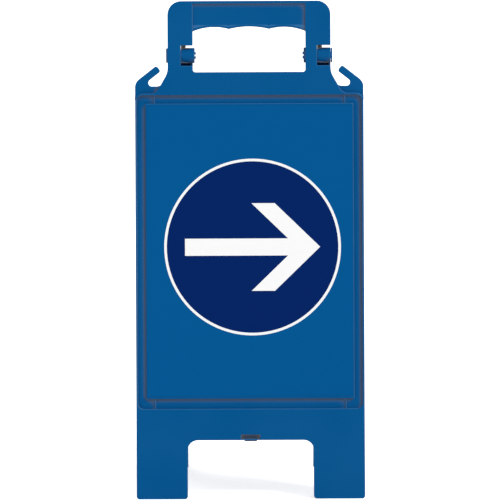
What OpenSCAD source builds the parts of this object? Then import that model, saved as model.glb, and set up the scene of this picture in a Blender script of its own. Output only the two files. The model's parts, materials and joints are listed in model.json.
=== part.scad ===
/* [Printed sheets and symbol] */
// Width of the printed sheet on each panel
sheet_w = 297; // [290:1:304]
// Height of the printed sheet
sheet_h = 420; // [400:1:435]
// Thickness of the printed sheet
sheet_t = 0.4; // [0.3:0.05:0.6]
// Corner radius of the printed sheet
sheet_corner_r = 3; // [1:0.5:6]
// Bare margin of the platform on each side of the sheet
sheet_side_margin = 1.7; // [1:0.1:4]
// Bare margin of the platform above the sheet
sheet_head_margin = 2.5; // [1:0.1:5]
// Bare margin of the platform below the sheet
sheet_foot_margin = 4; // [2:0.1:9]
// Thickness of each layer of cut film on the sheet
film_t = 0.15; // [0.1:0.05:0.3]
// Radius of the white round, whose border shows as a ring
ring_r = 127.6; // [115:0.2:138]
// Width of the white ring round the navy round
ring_w = 3.8; // [2:0.2:8]
// How far the round stands to the right of the middle of the sheet
symbol_right = 3.9; // [0:0.1:6]
// How far the round stands above the middle of the sheet
symbol_up = 5; // [0:0.5:20]
// Length of the arrow from tail to tip
arrow_l = 195.2; // [170:0.2:215]
// Height of the arrow head
arrow_h = 126.6; // [110:0.2:140]
// Thickness of the arrow shaft
shaft_t = 24.7; // [18:0.1:32]
// Level width of each arm of the arrow head
arrow_arm_w = 33.6; // [26:0.2:42]
// Level distance from the arrow tip back to the outer corners of its head
arrow_head_l = 65.4; // [55:0.2:76]

/* [Panels] */
// Depth of one panel from its inner edge to its front face
panel_depth = 25; // [22:0.5:30]
// Lean of each panel from upright when the sign stands open
lean = 10; // [8:0.5:12]
// Length of a panel from the hinge axis down to the front edge of its feet
drop = 641; // [625:1:680]
// Thickness of the walls round the edge of a panel
wall_t = 3; // [2.4:0.1:3.6]
// Thickness of the front skin of a panel
skin_t = 3; // [2.4:0.1:3.6]
// Space left between the two panels when the sign is folded
fold_gap = 0.5; // [0.3:0.1:1]
// Drop from the hinge axis to the top edge of the frame
shoulder_drop = 54.8; // [53:0.2:58]
// Radius of the top corners of the frame
frame_corner_r = 11; // [8:0.5:14]
// Width of the rim round the moat
rim_w = 2.6; // [2.2:0.1:5]
// Width of the moat at its sides and top
moat_w = 12.2; // [8:0.1:14]
// Width of the moat at its foot
moat_foot_w = 14.5; // [10:0.5:18]
// Depth of the moat below the rim
moat_depth = 4; // [2.5:0.25:6]
// Radius of the outer corners of the moat
moat_corner_r = 8.5; // [6.5:0.5:10]
// Radius of the corners of the raised platform
platform_corner_r = 2; // [1:0.5:4]
// How far the platform lies below the rim
platform_drop = 1; // [0.8:0.1:1.3]
// Distance from the middle of the sign to the thin ribs across the moat
bridge_x = 137.7; // [125:0.5:142]
// Radius of the long front edges of a panel
edge_r = 3; // [1.5:0.25:3]
// Thickness of the thin ribs across the moat
bridge_t = 2; // [1.5:0.1:3]
// Height of the thin ribs above the floor of the moat
bridge_h = 1.6; // [1:0.1:2]
// Thickness of the stiffening ribs behind the skin
rib_t = 2; // [1.5:0.1:3]
// Height of the stiffening ribs behind the skin
rib_h = 8; // [5:0.5:11]
// Number of level ribs behind the platform
rib_rows = 4; // [2:1:7]
// Number of upright ribs behind the platform
rib_columns = 3; // [2:1:5]

/* [Legs and fold catch] */
// Width of each leg
leg_w = 74; // [66:1:82]
// Height of the cut-out between the legs
leg_h = 85; // [70:1:95]
// Radius of the upper corners of the cut-out
cutout_corner_r = 14.5; // [10:0.5:20]
// Radius of the corners of the feet
foot_corner_r = 5.2; // [3.6:0.1:6]
// Width of the finger pocket above the fold catch
pocket_w = 27.4; // [24:0.2:34]
// Height of the finger pocket
pocket_h = 6; // [5:0.1:8]
// Depth of the finger pocket
pocket_depth = 7; // [5:0.5:9]
// Strip left between the finger pocket and the cut-out
pocket_strip = 2; // [1.6:0.1:3]
// Width of the fold catch tongue
catch_w = 18; // [14:0.5:20]
// Thickness of the fold catch tongue
catch_t = 2; // [1.6:0.1:3]
// Reach of the fold catch tongue past the inner edge of the front panel
catch_reach = 9; // [6:0.5:12]
// How far the head of the fold catch tongue dips below the edge of the cut-out
catch_head = 1.9; // [1:0.1:2]
// Length of the head of the fold catch tongue
catch_head_l = 2.5; // [1.5:0.1:4]
// Height of the ridge on the back panel that the head of the tongue passes
catch_ridge = 0.3; // [0.1:0.05:0.3]

/* [Carrying handle] */
// Width of the shoulder of the panel beside each post of the handle
shoulder_w = 47.2; // [44:0.2:50]
// Height of the handle above the hinge axis
handle_rise = 78.5; // [74:0.5:90]
// Radius of the top corners of the handle
handle_corner_r = 20; // [12:0.5:26]
// Width of each post of the handle
post_w = 36.4; // [34:0.2:40]
// Drop from the hinge axis to the lower edge of the handle window
window_drop = 24.3; // [20:0.1:28]
// Radius of the lower corners of the handle window
window_corner_r = 4; // [2:0.5:8]
// Height above the hinge axis of the outer ends of the finger arches
arch_end = 34.7; // [31:0.1:38]
// Height above the hinge axis of the points between the finger arches
arch_point = 38; // [34:0.1:41]
// Where the points between the finger arches stand, from the middle to the post
arch_share = 0.357; // [0.3:0.01:0.4]
// Rise of the middle finger arch
arch_mid_rise = 3.6; // [2:0.1:6]
// Rise of the outer finger arches
arch_side_rise = 4.4; // [2:0.1:6]
// Depth of the recess in the front of the grip
grip_recess = 2.5; // [0.8:0.1:3]
// Height of the rim above the recess in the grip
grip_rim = 4; // [3:0.5:6]

/* [Hinge] */
// Depth of the hinge axis from the inner edge of the front panel
axis_depth = 12.5; // [12:0.25:13]
// Radius of the knuckles and of the lugs
knuckle_r = 11; // [9.5:0.1:11.5]
// Width of the inner half of each hinge, from the inner edge of the post
hinge_inner_w = 17.1; // [15:0.1:20]
// How far the inner hinge parts stand past the inner edge of a post
hinge_reach = 2.8; // [1.5:0.1:4]
// Space between a knuckle and the lug, head or barb beside it
side_play = 0.3; // [0.2:0.05:0.5]
// Space above a knuckle in the notch of the post
notch_head_gap = 3.3; // [2:0.1:5]
// Space below a knuckle in the notch of the post
notch_foot_gap = 4; // [2:0.1:6]
// Radius of the hinge pins
pin_r = 4.8; // [4:0.1:5.5]
// Radial clearance of a hinge pin in its bores
pin_play = 0.08; // [0.03:0.01:0.1]
// Radius of the head of a hinge pin
pin_head_r = 10.5; // [8:0.5:12]
// Thickness of the head of a hinge pin
pin_head_t = 2.2; // [1.6:0.1:3]
// How far the barb of a hinge pin stands out beyond the pin
barb_out = 0.7; // [0.4:0.1:1]
// Length of the barb of a hinge pin
barb_l = 1.6; // [1.2:0.1:3]
// Width of the slot between the two prongs of a hinge pin
prong_gap = 2.2; // [1.6:0.1:3]
// Length of the two prongs of a hinge pin
prong_l = 14; // [8:0.5:18]
// Drop from the hinge axis to the top edge of the back panel's stubs
arm_drop = 2.4; // [2.2:0.1:4]
// Step from the top of a knuckle down to the top of its arm
arm_step = 0.8; // [0.5:0.1:1.5]
// Width of the stop fingers on the back panel
finger_w = 7; // [5:0.5:9]
// Drop from the top of the panel's stubs to the edge between them
saddle_drop = 40; // [38:0.5:44]
// Drop from the top of the stubs to where they begin to widen
arm_foot = 41; // [38:0.5:44]
// Height of the stop fingers above the hinge axis
finger_rise = 25; // [22:0.5:30]
// Thickness of the stop fingers
finger_t = 5; // [3:0.5:6]
// Space between a stop finger and the front panel when the sign stands open
stop_gap = 0.2; // [0.1:0.05:0.2]

/* [Shoulder hooks] */
// Slope of the shoulders away from upright
shoulder_angle = 30; // [24:1:34]
// Drop from the hinge axis to where the posts begin to widen
post_foot = 25; // [22:0.5:30]
// Radius of the curve where the posts begin to widen
flare_r = 25; // [10:1:35]
// Radius of the curve where the shoulders meet the frame
shoulder_r = 11.5; // [8:0.5:14]
// Thickness of the hook plates
hook_t = 5; // [4:0.5:7]
// How far the hook plates lie behind the front face
hook_set = 5; // [3:0.5:7]
// Radius of the outer bend of a hook
hook_r = 15; // [13:0.5:17]
// Drop from the hinge axis to the centre of a hook's outer bend
hook_drop = 46; // [44:0.5:48]
// Slope of a hook's arm above level
hook_angle = 38; // [34:1:44]
// Width of a hook's arm
hook_arm_w = 10.5; // [9:0.5:12]
// Gap between the tip of a hook and the post
hook_mouth = 9.7; // [8:0.1:12]
// Radius of the corners of a hook's tip
hook_tip_r = 3.5; // [2:0.5:4]
// Drop from the hinge axis to the floor of a hook's slot
hook_slot_drop = 44.6; // [43:0.2:45.6]
// Radius of the round end of a hook's slot
hook_slot_r = 5.2; // [4:0.1:6]

/* [Hidden] */
$fn = 64;
// Overrun of every cut past the face it opens
over = 1;
// Colours of the mouldings, the sheets and the films
panel_blue = [0.02, 0.33, 0.56];
sheet_blue = [0, 0.34, 0.57];
navy = [0.01, 0.15, 0.39];
white = [1, 1, 1];

// Half widths of the panel, the moat and the platform, worked out from the sheet
platform_x = sheet_w / 2 + sheet_side_margin;
moat_x = platform_x + moat_w;
panel_x = moat_x + rim_w;
// Levels below the hinge axis
moat_top = -shoulder_drop - rim_w;
platform_top = moat_top - moat_w;
sheet_top = platform_top - sheet_head_margin;
platform_foot = sheet_top - sheet_h - sheet_foot_margin;
moat_foot = platform_foot - moat_foot_w;
cutout_top = -drop + leg_h;
// Depths from the inner edge towards the front face
under_skin = panel_depth - skin_t;
moat_floor = panel_depth - moat_depth;
platform_face = panel_depth - platform_drop;
inner_edge = fold_gap / 2;
// Half widths of the posts, the handle window and the cut-out between the legs
post_x = panel_x - shoulder_w;
window_x = post_x - post_w;
hinge_split = window_x + hinge_inner_w;
arch_point_x = window_x * arch_share;
cutout_x = panel_x - leg_w;
// How much further the back panel hangs below the hinge axis than the front panel
back_low = 2 * axis_depth * tan(lean) + over;
// Top edge of the back panel's stubs and the edges below it, on the back panel
arm_top = back_low - arm_drop;
saddle = arm_top - saddle_drop;
// Height and place of the hinge axis when the sign stands open, middle of the footprint at zero
hinge_height = drop * cos(lean) - (panel_depth - axis_depth) * sin(lean);
hinge_back = -axis_depth * (cos(lean) + tan(lean) * sin(lean));
// Reach of the large blocks that cut away everything past a plane
far = 2 * drop;

// A flat shape in front view, given thickness from one depth to another
module slab(depth_0, depth_1) {
    translate([0, -depth_0, 0])
        rotate([90, 0, 0])
            linear_extrude(depth_1 - depth_0)
                children();
}

// A side profile, stretched across the sign from one place to another
module across(x_0, x_1) {
    translate([x_0, 0, 0])
        rotate([90, 0, 90])
            linear_extrude(x_1 - x_0)
                children();
}

// A round bar along the hinge axis
module axle(x_0, x_1, r) {
    translate([x_0, 0, 0])
        rotate([0, 90, 0])
            cylinder(r = r, h = x_1 - x_0);
}

module box(x_0, x_1, y_0, y_1, z_0, z_1) {
    translate([x_0, y_0, z_0])
        cube([x_1 - x_0, y_1 - y_0, z_1 - z_0]);
}

module both_sides() {
    children();
    mirror([1, 0, 0])
        children();
}

// A rectangle with round corners
module round_rect(x_0, x_1, z_0, z_1, r) {
    if (r > 0) {
        translate([x_0 + r, z_0])
            square([x_1 - x_0 - 2 * r, z_1 - z_0]);
        translate([x_0, z_0 + r])
            square([x_1 - x_0, z_1 - z_0 - 2 * r]);
        for (x = [x_0 + r, x_1 - r], z = [z_0 + r, z_1 - r])
            translate([x, z])
                circle(r);
    } else {
        translate([x_0, z_0])
            square([x_1 - x_0, z_1 - z_0]);
    }
}

function unit(v) = v / norm(v);

// The web that rounds an inner corner at p between edges running along a and b
module corner_web(p, a, b, r) {
    half = acos(a * b) / 2;
    run = r / tan(half);
    centre = p + unit(a + b) * r / sin(half);
    root = p - unit(a + b) * over;
    difference() {
        polygon([root, p + a * run, centre, p + b * run]);
        translate(centre)
            circle(r);
    }
}

// Moves the origin of a panel to its hinge axis
module at_axis(front) {
    translate(front ? [0, -axis_depth, 0] : [0, axis_depth, back_low])
        children();
}

// Everything above the floor, or above a level over it, seen from a leaning panel
module above_floor(level, front) {
    at_axis(front)
        rotate([lean, 0, 0])
            translate([0, 0, level - hinge_height])
                box(-far, far, -far, far, 0, far);
}

// Frame, band and legs in front view, drawn in by i, with a little left on the feet for the soles
module lower_outline(i) {
    difference() {
        union() {
            round_rect(i - panel_x, panel_x - i, leg_h / 2 - drop, -shoulder_drop - i, frame_corner_r - i);
            both_sides()
                round_rect(cutout_x + i, panel_x - i, i - drop - over / 4, leg_h - drop, foot_corner_r - i);
        }
        round_rect(-cutout_x - i, cutout_x + i, -far, cutout_top + i, cutout_corner_r + i);
    }
}

// Posts and sloping shoulders up to a given height, drawn in by i
module upper_outline(i, top, r, foot) {
    down = shoulder_drop - foot;
    slope = [sin(shoulder_angle), -cos(shoulder_angle)];
    bend = [post_x - i, -foot - i * tan(shoulder_angle / 2)];
    toe = [post_x + ((down + i) * sin(shoulder_angle) - i) / cos(shoulder_angle), -shoulder_drop - i];
    round_rect(i - post_x, post_x - i, moat_top - i, top - i, r - i);
    both_sides() {
        polygon([bend, toe, [toe[0], moat_top - i], [0, moat_top - i], [0, bend[1]]]);
        corner_web(bend, [0, 1], slope, flare_r + i);
        corner_web(toe, -slope, [1, 0], shoulder_r + i);
    }
}

// Centre and radius of a finger arch that rises over the line from a to b
function arch_r(a, b, rise) = (pow(norm(b - a) / 2, 2) + rise * rise) / (2 * rise);
function arch_centre(a, b, rise) =
    (a + b) / 2 + unit([a[1] - b[1], b[0] - a[0]]) * (rise - arch_r(a, b, rise));

// The handle window with its three finger arches, grown by i
module window(i) {
    point = [arch_point_x, arch_point];
    end = [window_x, arch_end];
    round_rect(-window_x - i, window_x + i, -window_drop - i, arch_end / 2, window_corner_r + i);
    translate([-window_x - i, 0])
        square([2 * (window_x + i), arch_end]);
    intersection() {
        translate([-window_x - i, 0])
            square([2 * (window_x + i), handle_rise]);
        union() {
            translate([0, arch_point + arch_mid_rise - arch_r([-point[0], point[1]], point, arch_mid_rise)])
                circle(arch_r([-point[0], point[1]], point, arch_mid_rise) + i);
            both_sides()
                translate(arch_centre(point, end, arch_side_rise))
                    circle(arch_r(point, end, arch_side_rise) + i);
        }
    }
}

// The two openings in the posts that take the back panel's knuckles, grown by i
module notches(i) {
    for (x = [[-hinge_split, -window_x], [hinge_split, post_x]])
        translate([x[0] - side_play - i, -knuckle_r - notch_foot_gap - i])
            square([x[1] - x[0] + side_play + 2 * i + over, 2 * knuckle_r + notch_foot_gap + notch_head_gap + 2 * i]);
}

// A whole panel in front view, drawn in by i
module front_outline(i) {
    difference() {
        union() {
            lower_outline(i);
            upper_outline(i, handle_rise, handle_corner_r, post_foot);
        }
        window(i);
        notches(i);
    }
}

module back_outline(i) {
    difference() {
        union() {
            lower_outline(i);
            upper_outline(i, arm_top, 0, arm_foot - arm_top);
        }
        round_rect(-window_x - i, window_x + i, saddle - i, far, window_corner_r + i);
    }
}

module outline(i, front) {
    if (front)
        front_outline(i);
    else
        back_outline(i);
}

// The moat in front view, widened by i
module moat_ring(i) {
    difference() {
        round_rect(-moat_x - i, moat_x + i, moat_foot - i, moat_top + i, moat_corner_r + i);
        platform_outline(i);
    }
}

// The raised platform in front view, drawn in by i
module platform_outline(i) {
    round_rect(i - platform_x, platform_x - i, platform_foot + i, platform_top - i, platform_corner_r - i);
}

// Stiffening ribs behind the skin, in front view
module rib_lines() {
    for (n = [1:rib_rows])
        translate([-panel_x, platform_top + (platform_foot - platform_top) * n / (rib_rows + 1) - rib_t / 2])
            square([2 * panel_x, rib_t]);
    for (n = [1:rib_columns])
        translate([2 * platform_x * n / (rib_columns + 1) - platform_x - rib_t / 2, moat_foot])
            square([rib_t, moat_top - moat_foot]);
    both_sides()
        translate([(cutout_x + panel_x - rib_t) / 2, -drop - over])
            square([rib_t, drop + over + moat_foot]);
}

// One hook plate in front view, on the right
module hook_outline() {
    centre = [panel_x - hook_r, -hook_drop];
    inward = hook_r - hook_arm_w;
    arm_l = (centre[0] - post_x - hook_mouth + inward * sin(hook_angle)) / cos(hook_angle);
    slot_z = inward - hook_slot_r;
    slot_x = (hook_drop - hook_slot_drop + hook_slot_r - slot_z * cos(hook_angle)) / sin(hook_angle);
    slot = centre + [slot_z * sin(hook_angle) - slot_x * cos(hook_angle), slot_z * cos(hook_angle) + slot_x * sin(hook_angle)];
    difference() {
        union() {
            translate(centre)
                circle(hook_r);
            translate([post_x, -shoulder_drop - frame_corner_r - over])
                square([panel_x - post_x, shoulder_drop + frame_corner_r + over - hook_drop]);
            translate([post_x, -shoulder_drop])
                square([slot[0] - post_x, shoulder_drop - hook_slot_drop]);
            translate(centre)
                rotate(180 - hook_angle)
                    mirror([0, 1])
                        round_rect(-hook_tip_r, arm_l, inward, hook_r, hook_tip_r);
        }
        translate(centre)
            rotate(180 - hook_angle)
                mirror([0, 1])
                    translate([slot_x, slot_z]) {
                        circle(hook_slot_r);
                        translate([0, -hook_slot_r])
                            square([2 * arm_l, 2 * hook_slot_r]);
                    }
        translate([post_x, -hook_slot_drop])
            square([slot[0] - post_x, hook_slot_r]);
    }
}

// Two hook plates, joined to the shoulders and the frame
module hooks() {
    slab(panel_depth - hook_set - hook_t, panel_depth - hook_set)
        difference() {
            both_sides()
                hook_outline();
            front_outline(wall_t / 2);
        }
}

// A panel seen from the side, its top front edge rounded
module side_profile(top) {
    centre = [edge_r - panel_depth, top - edge_r];
    difference() {
        translate([-panel_depth, -far])
            square([2 * panel_depth, far + top]);
        difference() {
            translate([-panel_depth - over, centre[1]])
                square([edge_r + over, edge_r + over]);
            translate(centre)
                circle(edge_r);
        }
    }
}

// One panel's walls, skin and ribs, hollowed from behind, with its moat cut last
module shell(front) {
    top = front ? handle_rise : arm_top;
    difference() {
        union() {
            difference() {
                intersection() {
                    slab(inner_edge, panel_depth)
                        outline(0, front);
                    across(-far, far)
                        side_profile(top);
                    translate([0, 0, -far])
                        linear_extrude(2 * far)
                            round_rect(-panel_x, panel_x, -panel_depth, far, edge_r);
                }
                intersection() {
                    union() {
                        slab(-over, moat_floor - skin_t)
                            outline(wall_t, front);
                        slab(-over, under_skin)
                            difference() {
                                outline(wall_t, front);
                                moat_ring(wall_t);
                            }
                    }
                    above_floor(wall_t, front);
                }
            }
            slab(under_skin - rib_h, under_skin)
                intersection() {
                    rib_lines();
                    outline(wall_t / 2, front);
                }
        }
        slab(moat_floor, panel_depth + over)
            difference() {
                moat_ring(0);
                both_sides()
                    translate([bridge_x - bridge_t / 2, -drop])
                        square([bridge_t, drop]);
            }
        slab(moat_floor + bridge_h, panel_depth + over)
            moat_ring(0);
        slab(platform_face, panel_depth + over)
            round_rect(-moat_x, moat_x, moat_foot, moat_top, moat_corner_r);
    }
}

// Where each lug or knuckle begins and ends: one outside, one inside its post
function hinge_places(play) = [[-post_x, -hinge_split - play], [window_x - hinge_reach, hinge_split - play]];

// The lugs inside the front panel's posts
module lugs() {
    at_axis(true)
        for (x = hinge_places(side_play))
            axle(x[0], x[1], knuckle_r);
}

// Side profile of an arm, from the hinge axis back to the back panel's skin, drawn in by i
module arm_profile(i) {
    high = knuckle_r - arm_step - i;
    reach = axis_depth + under_skin + over - i;
    polygon([
        [0, -high],
        [0, high / cos(2 * lean)],
        [-reach, (high - reach * sin(2 * lean)) / cos(2 * lean)],
        [-reach, -high]
    ]);
}

// The back panel's knuckles on their arms, each arm hollowed from below
module knuckles() {
    at_axis(false)
        for (x = hinge_places(0)) {
            axle(x[0], x[1], knuckle_r);
            difference() {
                across(max(x[0], -post_x), x[1])
                    arm_profile(0);
                across(max(x[0], -post_x) + wall_t + (x[0] > 0 ? hinge_reach : 0), x[1] - wall_t)
                    difference() {
                        arm_profile(wall_t);
                        square(2 * knuckle_r, center = true);
                    }
                box(x[0] + wall_t + hinge_reach, x[1] - wall_t, -axis_depth - under_skin, -knuckle_r, -far, -wall_t);
            }
        }
}

module bores(front) {
    at_axis(front)
        axle(-far, far, pin_r + pin_play);
}

// The finger pocket in the band above the cut-out, and the walls round it
module pocket(i) {
    w = pocket_w / 2 + i;
    box(-w, w, -panel_depth - over + i, -panel_depth + pocket_depth + i,
        cutout_top + pocket_strip - i, cutout_top + pocket_strip + pocket_h + i);
}

// Places a panel modelled upright, inner edge and hinge level at the origin, where it stands
module stand_front() {
    translate([0, hinge_back, hinge_height])
        rotate([-lean, 0, 0])
            translate([0, axis_depth, 0])
                children();
}

module stand_back() {
    translate([0, hinge_back, hinge_height])
        rotate([0, 0, 180])
            rotate([-lean, 0, 0])
                translate([0, -axis_depth, -back_low])
                    children();
}

// Puts a shape drawn on the open front panel into the back panel's place
module from_front() {
    at_axis(false)
        rotate([lean, 0, 0])
            rotate([0, 0, 180])
                rotate([-lean, 0, 0])
                    translate([0, axis_depth, 0])
                        children();
}

// The ribs in the posts that the stop fingers bear on
module stop_ribs() {
    for (x = [-hinge_split, hinge_split])
        box(x + (finger_w - rib_t) / 2, x + (finger_w + rib_t) / 2, -under_skin - over, -inner_edge,
            knuckle_r + notch_head_gap + wall_t / 2, finger_rise + wall_t);
}

// The two fingers on the back panel's arms that stop the sign opening further
module fingers() {
    from_front()
        for (x = [-hinge_split, hinge_split])
            box(x, x + finger_w, stop_gap - inner_edge, finger_t, knuckle_r - wall_t, finger_rise);
}

// Thin wall behind the recess and upright ribs inside the grip
module grip_inside() {
    high = handle_rise - wall_t / 2;
    box(-window_x, window_x, -under_skin - over, -under_skin + grip_recess, arch_point + arch_mid_rise + wall_t, high);
    for (x = [-arch_point_x, 0, arch_point_x])
        box(x - rib_t / 2, x + rib_t / 2, -under_skin - over, -under_skin + 2 * rib_h,
            arch_point + arch_mid_rise + wall_t / 2, high);
}

// The tongue that reaches into the folded back panel, with a head that dips behind a ridge there
module catch_tongue() {
    w = catch_w / 2;
    box(-w, w, -wall_t, catch_reach, cutout_top, cutout_top + catch_t);
    box(-w, w, catch_reach - catch_head_l, catch_reach, cutout_top - catch_head, cutout_top + catch_t);
}

module catch_ledge() {
    w = catch_w / 2;
    box(-w, w, -inner_edge - catch_head_l, -inner_edge - catch_head_l / 2,
        cutout_top + wall_t / 2, cutout_top + wall_t + catch_ridge);
}

module front_panel() {
    color(panel_blue)
        stand_front()
            intersection() {
                difference() {
                    union() {
                        shell(true);
                        hooks();
                        lugs();
                        stop_ribs();
                        grip_inside();
                        pocket(rib_t);
                        catch_tongue();
                    }
                    bores(true);
                    pocket(0);
                    box(-window_x, window_x, -panel_depth - over, -panel_depth + grip_recess, 0, handle_rise - grip_rim);
                }
                above_floor(0, true);
            }
}

module back_panel() {
    color(panel_blue)
        stand_back()
            intersection() {
                difference() {
                    union() {
                        shell(false);
                        knuckles();
                        fingers();
                        pocket(rib_t);
                        catch_ledge();
                    }
                    bores(false);
                    pocket(0);
                }
                above_floor(0, false);
            }
}

// A hinge pin on the right-hand side, with its head seated outside and its barb inside
module hinge_pin(inner, outer) {
    axle(outer, outer + pin_head_t, pin_head_r);
    difference() {
        union() {
            axle(inner - barb_l, outer + pin_head_t, pin_r);
            translate([inner, 0, 0])
                rotate([0, -90, 0])
                    cylinder(r1 = pin_r + barb_out, r2 = pin_r - barb_out, h = barb_l);
        }
        box(inner - barb_l - over, inner + prong_l, -2 * pin_r, 2 * pin_r, -prong_gap / 2, prong_gap / 2);
    }
}

module left_hinge_pin() {
    color(panel_blue)
        stand_front()
            at_axis(true)
                mirror([1, 0, 0])
                    hinge_pin(window_x - hinge_reach - side_play, post_x);
}

module right_hinge_pin() {
    color(panel_blue)
        stand_front()
            at_axis(true)
                hinge_pin(window_x - hinge_reach, post_x + side_play);
}

// The printed sheet, then the film layers of the symbol, each lying on the one before
module sheet() {
    slab(platform_face, platform_face + sheet_t)
        round_rect(-sheet_w / 2, sheet_w / 2, sheet_top - sheet_h, sheet_top, sheet_corner_r);
}

module film(layer) {
    face = platform_face + sheet_t + (layer - 1) * film_t;
    slab(face, face + film_t)
        translate([symbol_right, sheet_top - sheet_h / 2 + symbol_up])
            children();
}

module arrow_outline() {
    tip = arrow_l / 2;
    head_back = tip - arrow_head_l;
    shoulder = tip - arrow_head_l * shaft_t / arrow_h - arrow_arm_w;
    polygon([
        [tip, 0],
        [head_back, arrow_h / 2],
        [head_back - arrow_arm_w, arrow_h / 2],
        [shoulder, shaft_t / 2],
        [-tip, shaft_t / 2],
        [-tip, -shaft_t / 2],
        [shoulder, -shaft_t / 2],
        [head_back - arrow_arm_w, -arrow_h / 2],
        [head_back, -arrow_h / 2]
    ]);
}

module front_sheet() {
    color(sheet_blue)
        stand_front()
            sheet();
}

module front_white_round() {
    color(white)
        stand_front()
            film(1)
                circle(ring_r);
}

module front_navy_round() {
    color(navy)
        stand_front()
            film(2)
                circle(ring_r - ring_w);
}

module front_arrow() {
    color(white)
        stand_front()
            film(3)
                arrow_outline();
}

module back_sheet() {
    color(sheet_blue)
        stand_back()
            sheet();
}

module back_white_round() {
    color(white)
        stand_back()
            film(1)
                circle(ring_r);
}

module back_navy_round() {
    color(navy)
        stand_back()
            film(2)
                circle(ring_r - ring_w);
}

module back_arrow() {
    color(white)
        stand_back()
            film(3)
                arrow_outline();
}

front_panel();
back_panel();
left_hinge_pin();
right_hinge_pin();
front_sheet();
front_white_round();
front_navy_round();
front_arrow();
back_sheet();
back_white_round();
back_navy_round();
back_arrow();
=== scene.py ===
import json
import math

import bmesh
import bpy
from mathutils import Matrix, Vector


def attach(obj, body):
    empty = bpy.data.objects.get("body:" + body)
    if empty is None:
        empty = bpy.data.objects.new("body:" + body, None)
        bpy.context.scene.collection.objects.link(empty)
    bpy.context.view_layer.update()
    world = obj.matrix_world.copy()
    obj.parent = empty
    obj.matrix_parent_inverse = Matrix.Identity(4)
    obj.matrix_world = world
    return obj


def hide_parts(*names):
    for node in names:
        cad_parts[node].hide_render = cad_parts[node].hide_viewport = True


bl_info = {
    "name": "A-frame warning sign",
    "version": (1, 0, 0),
    "blender": (4, 5, 0),
    "location": "3D View > Sidebar > Sign",
    "description": "Dresses the packed a-frame sign: moulded panels, printed sheets, hinge pins, studio",
    "category": "Object",
}

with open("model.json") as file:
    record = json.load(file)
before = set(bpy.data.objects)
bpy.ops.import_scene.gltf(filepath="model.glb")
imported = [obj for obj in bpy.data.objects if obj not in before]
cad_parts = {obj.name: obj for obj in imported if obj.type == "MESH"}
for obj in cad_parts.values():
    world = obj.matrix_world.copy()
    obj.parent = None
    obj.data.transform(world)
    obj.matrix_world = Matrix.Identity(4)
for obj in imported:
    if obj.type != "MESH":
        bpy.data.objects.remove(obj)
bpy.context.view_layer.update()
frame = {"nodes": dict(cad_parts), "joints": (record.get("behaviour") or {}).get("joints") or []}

# The panels lean alike, and folding turns the back one by both leans together
FOLD = frame["joints"][0]
LEAN = math.radians(FOLD["range_deg"][1]) / 2
# The hinge's axis, and how far it lies in front of the face where the panels meet
HINGE = Vector(FOLD["pos_m"])
AXIS_DEPTH = -HINGE.y * math.cos(LEAN)
# Turns right, up the face and towards the viewer, on the front panel, into the world's directions
FRONT = Matrix.Rotation(math.pi / 2 - LEAN, 3, "X")


# Settings


class SignMouldings(bpy.types.PropertyGroup):
    """Finish of the moulded plastic, and the highlight and shade painted on it"""

    blue: bpy.props.FloatVectorProperty(
        name="Panel blue", description="Colour of the moulded plastic", subtype="COLOR",
        size=3, min=0.0, max=1.0, default=(0.0, 0.085, 0.26))
    pale: bpy.props.FloatVectorProperty(
        name="Patch blue", description="Colour that the plastic's paler patches tend to", subtype="COLOR",
        size=3, min=0.0, max=1.0, default=(0.012, 0.125, 0.33))
    # Painted highlight: a paler blue on the edges that face the light, up and to the right
    painted_highlight: bpy.props.FloatVectorProperty(
        name="Painted edge highlight", description="Colour of the edges that face up or to the right", subtype="COLOR",
        size=3, min=0.0, max=1.0, default=(0.06, 0.2, 0.42))
    highlight_reach: bpy.props.FloatProperty(
        name="Painted highlight width", description="How far from an edge the painted highlight reaches",
        unit="LENGTH", subtype="DISTANCE", min=0.0002, max=0.01, default=0.0018)
    # Painted shadow: a brownish grey in the creases where walls shade them from the light
    painted_shadow: bpy.props.FloatVectorProperty(
        name="Crease dust", description="Colour of the dust that lies in the creases", subtype="COLOR",
        size=3, min=0.0, max=1.0, default=(0.155, 0.14, 0.115))
    shadow_reach: bpy.props.FloatProperty(
        name="Painted shadow reach", description="How far from a crease its dust reaches",
        unit="LENGTH", subtype="DISTANCE", min=0.0005, max=0.02, default=0.0095)
    # Painted shade tone: a pale brownish colour in deep notches and hollows, where shade falls
    hollow_shade: bpy.props.FloatVectorProperty(
        name="Deep dust", description="Colour of the dust in notches and hollows", subtype="COLOR",
        size=3, min=0.0, max=1.0, default=(0.66, 0.6, 0.52))
    deep_reach: bpy.props.FloatProperty(
        name="Deep reach", description="How far round it a hollow is felt",
        unit="LENGTH", subtype="DISTANCE", min=0.0005, max=0.05, default=0.018)
    edge_round: bpy.props.FloatProperty(
        name="Edge rounding", description="Radius on the edges of the panels",
        unit="LENGTH", subtype="DISTANCE", min=0.0001, max=0.002, default=0.0005)
    grain: bpy.props.FloatProperty(
        name="Grain size", description="Size of the grain left by the mould",
        unit="LENGTH", subtype="DISTANCE", min=0.0002, max=0.005, default=0.0009)


class SignPrint(bpy.types.PropertyGroup):
    """Colours of the printed sheets and the cut film"""

    blue: bpy.props.FloatVectorProperty(
        name="Sheet blue", description="Ground colour of the printed sheets", subtype="COLOR",
        size=3, min=0.0, max=1.0, default=(0.0, 0.091, 0.28))
    navy: bpy.props.FloatVectorProperty(
        name="Navy", description="Colour of the round", subtype="COLOR",
        size=3, min=0.0, max=1.0, default=(0.0004, 0.0165, 0.118))
    white: bpy.props.FloatVectorProperty(
        name="White", description="Colour of the ring and the arrow", subtype="COLOR",
        size=3, min=0.0, max=1.0, default=(0.93, 0.93, 0.93))


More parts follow.
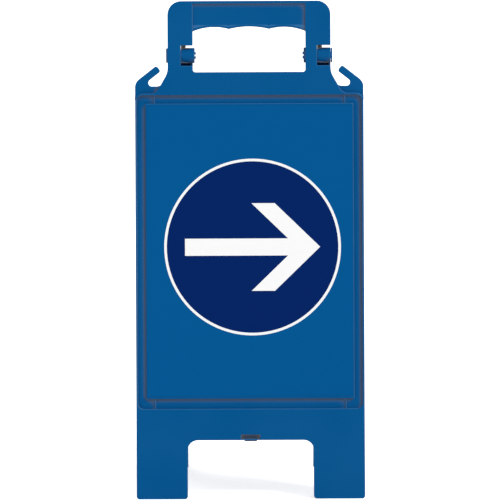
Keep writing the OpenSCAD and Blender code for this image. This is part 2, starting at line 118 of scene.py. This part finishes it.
class SignStudio(bpy.types.PropertyGroup):
    """Camera and light"""

    distance: bpy.props.FloatProperty(
        name="Camera distance", description="From the front panel to the camera",
        unit="LENGTH", subtype="DISTANCE", min=1.0, max=50.0, default=24.0)
    view_width: bpy.props.FloatProperty(
        name="View width", description="Width of the picture, measured on the front panel's face",
        unit="LENGTH", subtype="DISTANCE", min=0.2, max=5.0, default=0.722)
    roll: bpy.props.FloatProperty(
        name="Camera roll", description="Turn of the camera about its line of sight",
        unit="ROTATION", subtype="ANGLE", default=math.radians(0.25))
    key: bpy.props.FloatProperty(
        name="Key light", description="Strength of the light from the upper right",
        min=0.0, max=10.0, default=1.35)
    back: bpy.props.FloatProperty(
        name="Back light", description="Strength of the light from behind, on the left",
        min=0.0, max=10.0, default=1.1)
    fill: bpy.props.FloatProperty(
        name="Fill light", description="Strength of the even light from all round",
        min=0.0, max=2.0, default=0.66)


# Materials

# Strength, height and detail of the mould's grain, and the fainter ripple in print and film
GRAIN_STRENGTH = 0.25
GRAIN_HEIGHT = 0.0003
GRAIN_DETAIL = 3.0
RIPPLE_STRENGTH = 0.08
RIPPLE_HEIGHT = 0.0002
RIPPLES_PER_METRE = 400.0

# Broad patches: their number and detail, the noise over which they pale, and by how much
PATCHES_PER_METRE = 9.0
PATCH_DETAIL = 2.0
PATCH_NOISE = (0.3, 0.7)
PATCH_SHARE = 0.2

# Least and most roughness, and the gloss that all of them share
PLASTIC_ROUGHNESS = (0.42, 0.56)
SHEET_ROUGHNESS = (0.36, 0.46)
FILM_ROUGHNESS = (0.34, 0.44)
GLOSS = 0.03

# Rays that feel how open a face is, how far they are tilted to its upper right, and the world's up
OPENNESS_RAYS = 16
LIGHT_TILT = 1.6
UP = (0.0, 0.0, 1.0)

# Openness at which each painted mark starts, openness at which it is complete, and how much it covers then
# Painted highlight on the edges that face the light
EDGE_HIGHLIGHT = (0.8, 0.45, 0.7)
# Painted shadow in the creases that walls shade from the light
CREASE_SHADOW = (0.68, 0.48, 0.45)
# Pale painted shade tone in deep notches and hollows
HOLLOW_SHADE = (0.34, 0.12, 0.85)


def feed(tree, made, inputs):
    """Set each input of a node to a value, or join it to an output."""
    for name, value in inputs.items():
        if isinstance(value, bpy.types.NodeSocket):
            tree.links.new(value, made.inputs[name])
        else:
            made.inputs[name].default_value = value


def node(tree, kind, inputs=None, **values):
    """A new node with its values and its inputs."""
    made = tree.nodes.new(kind)
    for name, value in values.items():
        setattr(made, name, value)
    feed(tree, made, inputs or {})
    return made


def new_material(name):
    """A material, its node tree and its shader."""
    material = bpy.data.materials.new(name)
    material.use_nodes = True
    shader = material.node_tree.nodes["Principled BSDF"]
    return material, material.node_tree, shader


def mould_grain():
    """Height of the fine grain that a mould leaves, and the broad unevenness of the surface."""
    name = "Mould grain"
    if name in bpy.data.node_groups:
        return bpy.data.node_groups[name]
    group = bpy.data.node_groups.new(name, "ShaderNodeTree")
    group.interface.new_socket("Grains per metre", in_out="INPUT", socket_type="NodeSocketFloat")
    group.interface.new_socket("Height", in_out="OUTPUT", socket_type="NodeSocketFloat")
    group.interface.new_socket("Unevenness", in_out="OUTPUT", socket_type="NodeSocketFloat")
    start = node(group, "NodeGroupInput")
    place = node(group, "ShaderNodeTexCoord").outputs["Object"]
    fine = node(group, "ShaderNodeTexNoise", {
        "Vector": place, "Scale": start.outputs["Grains per metre"], "Detail": GRAIN_DETAIL})
    broad = node(group, "ShaderNodeTexNoise", {
        "Vector": place, "Scale": PATCHES_PER_METRE, "Detail": PATCH_DETAIL})
    node(group, "NodeGroupOutput", {"Height": fine.outputs["Fac"], "Unevenness": broad.outputs["Fac"]})
    return group


def mould_relief(tree, grains_per_metre, strength, height):
    """The normal that the mould's grain gives a surface, and its broad unevenness."""
    grain = node(tree, "ShaderNodeGroup", {"Grains per metre": grains_per_metre}, node_tree=mould_grain())
    bump = node(tree, "ShaderNodeBump", {
        "Strength": strength, "Distance": height, "Height": grain.outputs["Height"]})
    return bump.outputs["Normal"], grain.outputs["Unevenness"]


def ramp(tree, value, start, end, least, most):
    """The least where a value is at the start, and the most where it is at the end."""
    steps = node(tree, "ShaderNodeMapRange", {
        "Value": value, "From Min": start, "From Max": end, "To Min": least, "To Max": most})
    return steps.outputs["Result"]


def laid_over(tree, below, colour, amount):
    """A colour mixed over what lies below it."""
    mix = node(tree, "ShaderNodeMix", {
        "Factor": amount, "A": below, "B": (*colour, 1.0)}, data_type="RGBA")
    return mix.outputs["Result"]


def vector_math(tree, operation, *values):
    """The outcome of one step of arithmetic on vectors."""
    step = node(tree, "ShaderNodeVectorMath", dict(enumerate(values)), operation=operation)
    return step.outputs["Vector"]


def tilted_normal(tree, tilt):
    """A face's normal, tilted towards the upper right of whoever looks at the face."""
    normal = node(tree, "ShaderNodeNewGeometry").outputs["True Normal"]
    right = vector_math(tree, "CROSS_PRODUCT", UP, normal)
    corner = vector_math(tree, "MULTIPLY_ADD", right, (tilt, tilt, tilt), (0.0, 0.0, tilt))
    return vector_math(tree, "NORMALIZE", vector_math(tree, "ADD", corner, normal))


def openness(tree, distance, tilt, **values):
    """How open a face is within a distance, felt straight out where the tilt is zero."""
    inputs = {"Distance": distance}
    if tilt:
        inputs["Normal"] = tilted_normal(tree, tilt)
    near = node(tree, "ShaderNodeAmbientOcclusion", inputs, samples=OPENNESS_RAYS, **values)
    return near.outputs["AO"]


def painted_where_less_open(tree, below, colour, how_open, painted_mark):
    """A colour laid over what lies below it, where a face is less open."""
    start, end, most = painted_mark
    return laid_over(tree, below, colour, ramp(tree, how_open, start, end, 0.0, most))


def plastic(settings):
    """Grained blue plastic in faint patches, with a painted highlight on edges that face the upper right, a
    painted shadow cast by walls into the creases below and left of them, and a pale painted shade tone in
    deep hollows.
    """
    name = "moulded plastic"
    if name in bpy.data.materials:
        return bpy.data.materials[name]
    material, tree, shader = new_material(name)
    relief, unevenness = mould_relief(tree, 1.0 / settings.grain, GRAIN_STRENGTH, GRAIN_HEIGHT)
    patches = ramp(tree, unevenness, *PATCH_NOISE, 0.0, PATCH_SHARE)
    colour = laid_over(tree, (*settings.blue, 1.0), settings.pale, patches)

    # Rays into the plastic, towards its upper right, leave it soonest beside an edge on that side; there a
    # paler colour is painted on as a highlight of the edges that face the light
    lit_edge = openness(tree, settings.highlight_reach, -LIGHT_TILT, inside=True)
    colour = painted_where_less_open(tree, colour, settings.painted_highlight, lit_edge, EDGE_HIGHLIGHT)
    # Rays out of it, towards its upper right, soon meet a wall that stands on that side; there a brownish
    # grey is painted on as the shadow that the wall casts
    crease = openness(tree, settings.shadow_reach, LIGHT_TILT, only_local=True)
    colour = painted_where_less_open(tree, colour, settings.painted_shadow, crease, CREASE_SHADOW)
    # Rays straight out soon meet walls in deep notches and hollows, where a pale brownish colour is painted
    # on as the tone of their shade
    hollow = openness(tree, settings.deep_reach, 0.0)
    colour = painted_where_less_open(tree, colour, settings.hollow_shade, hollow, HOLLOW_SHADE)

    feed(tree, shader, {
        "Base Color": colour,
        "Roughness": ramp(tree, unevenness, 0.0, 1.0, *PLASTIC_ROUGHNESS),
        "Specular IOR Level": GLOSS,
        "Normal": relief,
    })
    return material


def print_material(name, colour, roughness):
    """Print or film: an even colour with a faint ripple in its gloss."""
    if name in bpy.data.materials:
        return bpy.data.materials[name]
    material, tree, shader = new_material(name)
    relief, unevenness = mould_relief(tree, RIPPLES_PER_METRE, RIPPLE_STRENGTH, RIPPLE_HEIGHT)
    feed(tree, shader, {
        "Base Color": (*colour, 1.0),
        "Roughness": ramp(tree, unevenness, 0.0, 1.0, *roughness),
        "Specular IOR Level": GLOSS,
        "Normal": relief,
    })
    return material


# Mouldings

# Points that are closer than this become one point in the copy of a moulding
WELD = 2e-6
# Steps round an edge, and the turn between two faces above which their edge is rounded
ROUND_STEPS = 3
ROUND_ANGLE = math.radians(40.0)
# Rounding of the pins as a share of that of the panels
PIN_ROUND_SHARE = 0.5


def rounded_copy(name, source, body, width, material):
    """A copy of a CAD node with its edges rounded, which stands for that node."""
    mesh = bpy.data.meshes.new(name)
    bm = bmesh.new()
    bm.from_mesh(frame["nodes"][source].data)
    bmesh.ops.remove_doubles(bm, verts=bm.verts, dist=WELD)
    bmesh.ops.dissolve_degenerate(bm, dist=WELD, edges=bm.edges)
    bm.normal_update()
    for face in bm.faces:
        face.smooth = True
    bm.to_mesh(mesh)
    bm.free()
    mesh.materials.append(material)
    piece = bpy.data.objects.new(name, mesh)
    bpy.context.scene.collection.objects.link(piece)
    bevel = piece.modifiers.new("edge rounding", "BEVEL")
    bevel.width = width
    bevel.segments = ROUND_STEPS
    bevel.limit_method = "ANGLE"
    bevel.angle_limit = ROUND_ANGLE
    bevel.use_clamp_overlap = False
    bevel.loop_slide = False
    bevel.face_strength_mode = "FSTR_ALL"
    even = piece.modifiers.new("even shading", "WEIGHTED_NORMAL")
    even.mode = "FACE_AREA_WITH_ANGLE"
    even.use_face_influence = True
    even.keep_sharp = False
    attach(piece, body)
    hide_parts(source)


class SIGN_OT_front_panel(bpy.types.Operator):
    """Round the edges of the front panel and give it grained plastic"""

    bl_idname = "sign.front_panel"
    bl_label = "Front panel"

    def execute(self, context):
        settings = context.scene.sign_mouldings
        rounded_copy("front_moulding", "front_panel", "front", settings.edge_round, plastic(settings))
        return {"FINISHED"}


class SIGN_OT_back_panel(bpy.types.Operator):
    """Round the edges of the back panel and give it grained plastic"""

    bl_idname = "sign.back_panel"
    bl_label = "Back panel"

    def execute(self, context):
        settings = context.scene.sign_mouldings
        rounded_copy("back_moulding", "back_panel", "back", settings.edge_round, plastic(settings))
        return {"FINISHED"}


class SIGN_OT_hinge_pins(bpy.types.Operator):
    """Round the edges of the two snap pins, less than those of the panels"""

    bl_idname = "sign.hinge_pins"
    bl_label = "Hinge pins"

    def execute(self, context):
        settings = context.scene.sign_mouldings
        width = settings.edge_round * PIN_ROUND_SHARE
        for side in ("left", "right"):
            rounded_copy(f"{side}_snap_pin", f"{side}_hinge_pin", "front", width, plastic(settings))
        return {"FINISHED"}


class SIGN_OT_prints(bpy.types.Operator):
    """Give the printed sheets and the film symbols their colours"""

    bl_idname = "sign.prints"
    bl_label = "Prints"

    def execute(self, context):
        settings = context.scene.sign_print
        white_film = print_material("white film", settings.white, FILM_ROUGHNESS)
        finishes = {
            "sheet": print_material("printed sheet", settings.blue, SHEET_ROUGHNESS),
            "white_round": white_film,
            "navy_round": print_material("navy film", settings.navy, FILM_ROUGHNESS),
            "arrow": white_film,
        }
        for panel in ("front", "back"):
            for piece, material in finishes.items():
                for slot in frame["nodes"][f"{panel}_{piece}"].material_slots:
                    slot.material = material
        return {"FINISHED"}


# Studio

WHITE = (1.0, 1.0, 1.0, 1.0)
# From the floor's middle to its sides, its finish, and its own glow where the camera looks
FLOOR_REACH = 8.0
FLOOR_COLOUR = (0.9, 0.9, 0.9, 1.0)
FLOOR_ROUGHNESS = 0.9
FLOOR_GLOW = 0.62

# How far to the right, up the panel and towards its viewer each light comes from, and its spread
KEY_FROM = (1.1, 1.3, 1.1)
KEY_SPREAD = math.radians(12.0)
BACK_FROM = (-0.7, 1.3, -1.1)
BACK_SPREAD = math.radians(40.0)

# The middle of the picture on the front panel, to the right of its middle and up from its hinge
PICTURE_RIGHT = 0.00014
PICTURE_UP = -0.2814
# From the face where the panels meet to the front face
PANEL_DEPTH = 0.025
SENSOR_WIDTH = 36.0
CLIP_END = 200.0


def looked_at(tree):
    """One for rays that the camera sees directly, in a gloss or through something clear."""
    path = node(tree, "ShaderNodeLightPath")
    seen = path.outputs["Is Camera Ray"]
    for way in ("Is Glossy Ray", "Is Transmission Ray"):
        either = node(tree, "ShaderNodeMath", {0: seen, 1: path.outputs[way]}, operation="MAXIMUM")
        seen = either.outputs["Value"]
    return seen


def lit_or_seen(tree, lit, seen):
    """One surface for the light, and another where the camera looks."""
    mix = node(tree, "ShaderNodeMixShader", {0: looked_at(tree), 1: lit, 2: seen})
    return mix.outputs["Shader"]


def pale_material(name):
    """White for the camera, plain pale for the light, and still taking shadows."""
    material, tree, shader = new_material(name)
    feed(tree, shader, {
        "Base Color": FLOOR_COLOUR, "Roughness": FLOOR_ROUGHNESS, "Specular IOR Level": 0.0})
    pale = shader.outputs["BSDF"]
    glow = node(tree, "ShaderNodeEmission", {"Strength": FLOOR_GLOW})
    both = node(tree, "ShaderNodeAddShader", {0: pale, 1: glow.outputs["Emission"]})
    surface = lit_or_seen(tree, pale, both.outputs["Shader"])
    feed(tree, tree.nodes["Material Output"], {"Surface": surface})
    return material


def add_floor(scene):
    """A plain square floor."""
    mesh = bpy.data.meshes.new("floor")
    bm = bmesh.new()
    bmesh.ops.create_grid(bm, x_segments=1, y_segments=1, size=FLOOR_REACH)
    bm.to_mesh(mesh)
    bm.free()
    mesh.materials.append(pale_material("pale floor"))
    floor = bpy.data.objects.new("floor", mesh)
    scene.collection.objects.link(floor)


def add_world(scene, strength):
    """Even light from all round, with a white background where the camera looks."""
    world = bpy.data.worlds.new("studio")
    world.use_nodes = True
    scene.world = world
    tree = world.node_tree
    tree.nodes.clear()
    fill = node(tree, "ShaderNodeBackground", {"Color": WHITE, "Strength": strength})
    shown = node(tree, "ShaderNodeBackground", {"Color": WHITE, "Strength": 1.0})
    surface = lit_or_seen(tree, fill.outputs["Background"], shown.outputs["Background"])
    node(tree, "ShaderNodeOutputWorld", {"Surface": surface})


def add_sun(scene, name, strength, spread, came_from):
    """An even light that comes from a direction on the front panel."""
    lamp = bpy.data.lights.new(name, "SUN")
    lamp.energy = strength
    lamp.angle = spread
    sun = bpy.data.objects.new(name, lamp)
    sun.rotation_euler = (FRONT @ Vector(came_from)).to_track_quat("Z", "Y").to_euler()
    scene.collection.objects.link(sun)


def add_camera(scene, settings):
    """A far camera that looks square on at the front panel."""
    view = bpy.data.cameras.new("view")
    view.sensor_width = SENSOR_WIDTH
    view.lens = SENSOR_WIDTH * settings.distance / settings.view_width
    view.clip_end = CLIP_END
    camera = bpy.data.objects.new("view", view)
    out_from_axis = PANEL_DEPTH - AXIS_DEPTH + settings.distance
    place = HINGE + FRONT @ Vector((PICTURE_RIGHT, PICTURE_UP, out_from_axis))
    turn = FRONT @ Matrix.Rotation(-settings.roll, 3, "Z")
    camera.matrix_world = Matrix.Translation(place) @ turn.to_4x4()
    scene.collection.objects.link(camera)
    scene.camera = camera


class SIGN_OT_studio(bpy.types.Operator):
    """Make the floor, the light and the camera, square on to the front panel"""

    bl_idname = "sign.studio"
    bl_label = "Studio"

    def execute(self, context):
        settings = context.scene.sign_studio
        scene = context.scene
        add_floor(scene)
        add_world(scene, settings.fill)
        add_sun(scene, "key", settings.key, KEY_SPREAD, KEY_FROM)
        add_sun(scene, "back light", settings.back, BACK_SPREAD, BACK_FROM)
        add_camera(scene, settings)
        scene.view_settings.view_transform = "Standard"
        return {"FINISHED"}


# Panel and registration


class SIGN_PT_sidebar(bpy.types.Panel):
    """Lists the sign's sizes, colours and steps"""

    bl_label = "A-frame sign"
    bl_idname = "SIGN_PT_sidebar"
    bl_space_type = "VIEW_3D"
    bl_region_type = "UI"
    bl_category = "Sign"

    def draw(self, context):
        for group, operators in PAGES:
            box = self.layout.box()
            settings = getattr(context.scene, group)
            for name in settings.__annotations__:
                box.prop(settings, name)
            for operator in operators:
                box.operator(operator.bl_idname)


PAGES = (
    ("sign_mouldings", (SIGN_OT_front_panel, SIGN_OT_back_panel, SIGN_OT_hinge_pins)),
    ("sign_print", (SIGN_OT_prints,)),
    ("sign_studio", (SIGN_OT_studio,)),
)
GROUPS = {"sign_mouldings": SignMouldings, "sign_print": SignPrint, "sign_studio": SignStudio}
CLASSES = (
    *GROUPS.values(),
    SIGN_OT_front_panel, SIGN_OT_back_panel, SIGN_OT_hinge_pins,
    SIGN_OT_prints, SIGN_OT_studio, SIGN_PT_sidebar,
)


def register():
    """Make the settings, operators and sidebar known."""
    for made in CLASSES:
        bpy.utils.register_class(made)
    for name, group in GROUPS.items():
        setattr(bpy.types.Scene, name, bpy.props.PointerProperty(type=group))


def unregister():
    """Take them out again."""
    for name in GROUPS:
        delattr(bpy.types.Scene, name)
    for made in reversed(CLASSES):
        bpy.utils.unregister_class(made)


def main():
    """Take each step once."""
    register()
    for group, operators in PAGES:
        for operator in operators:
            area, name = operator.bl_idname.split(".")
            getattr(getattr(bpy.ops, area), name)()


if __name__ == "__main__":
    main()
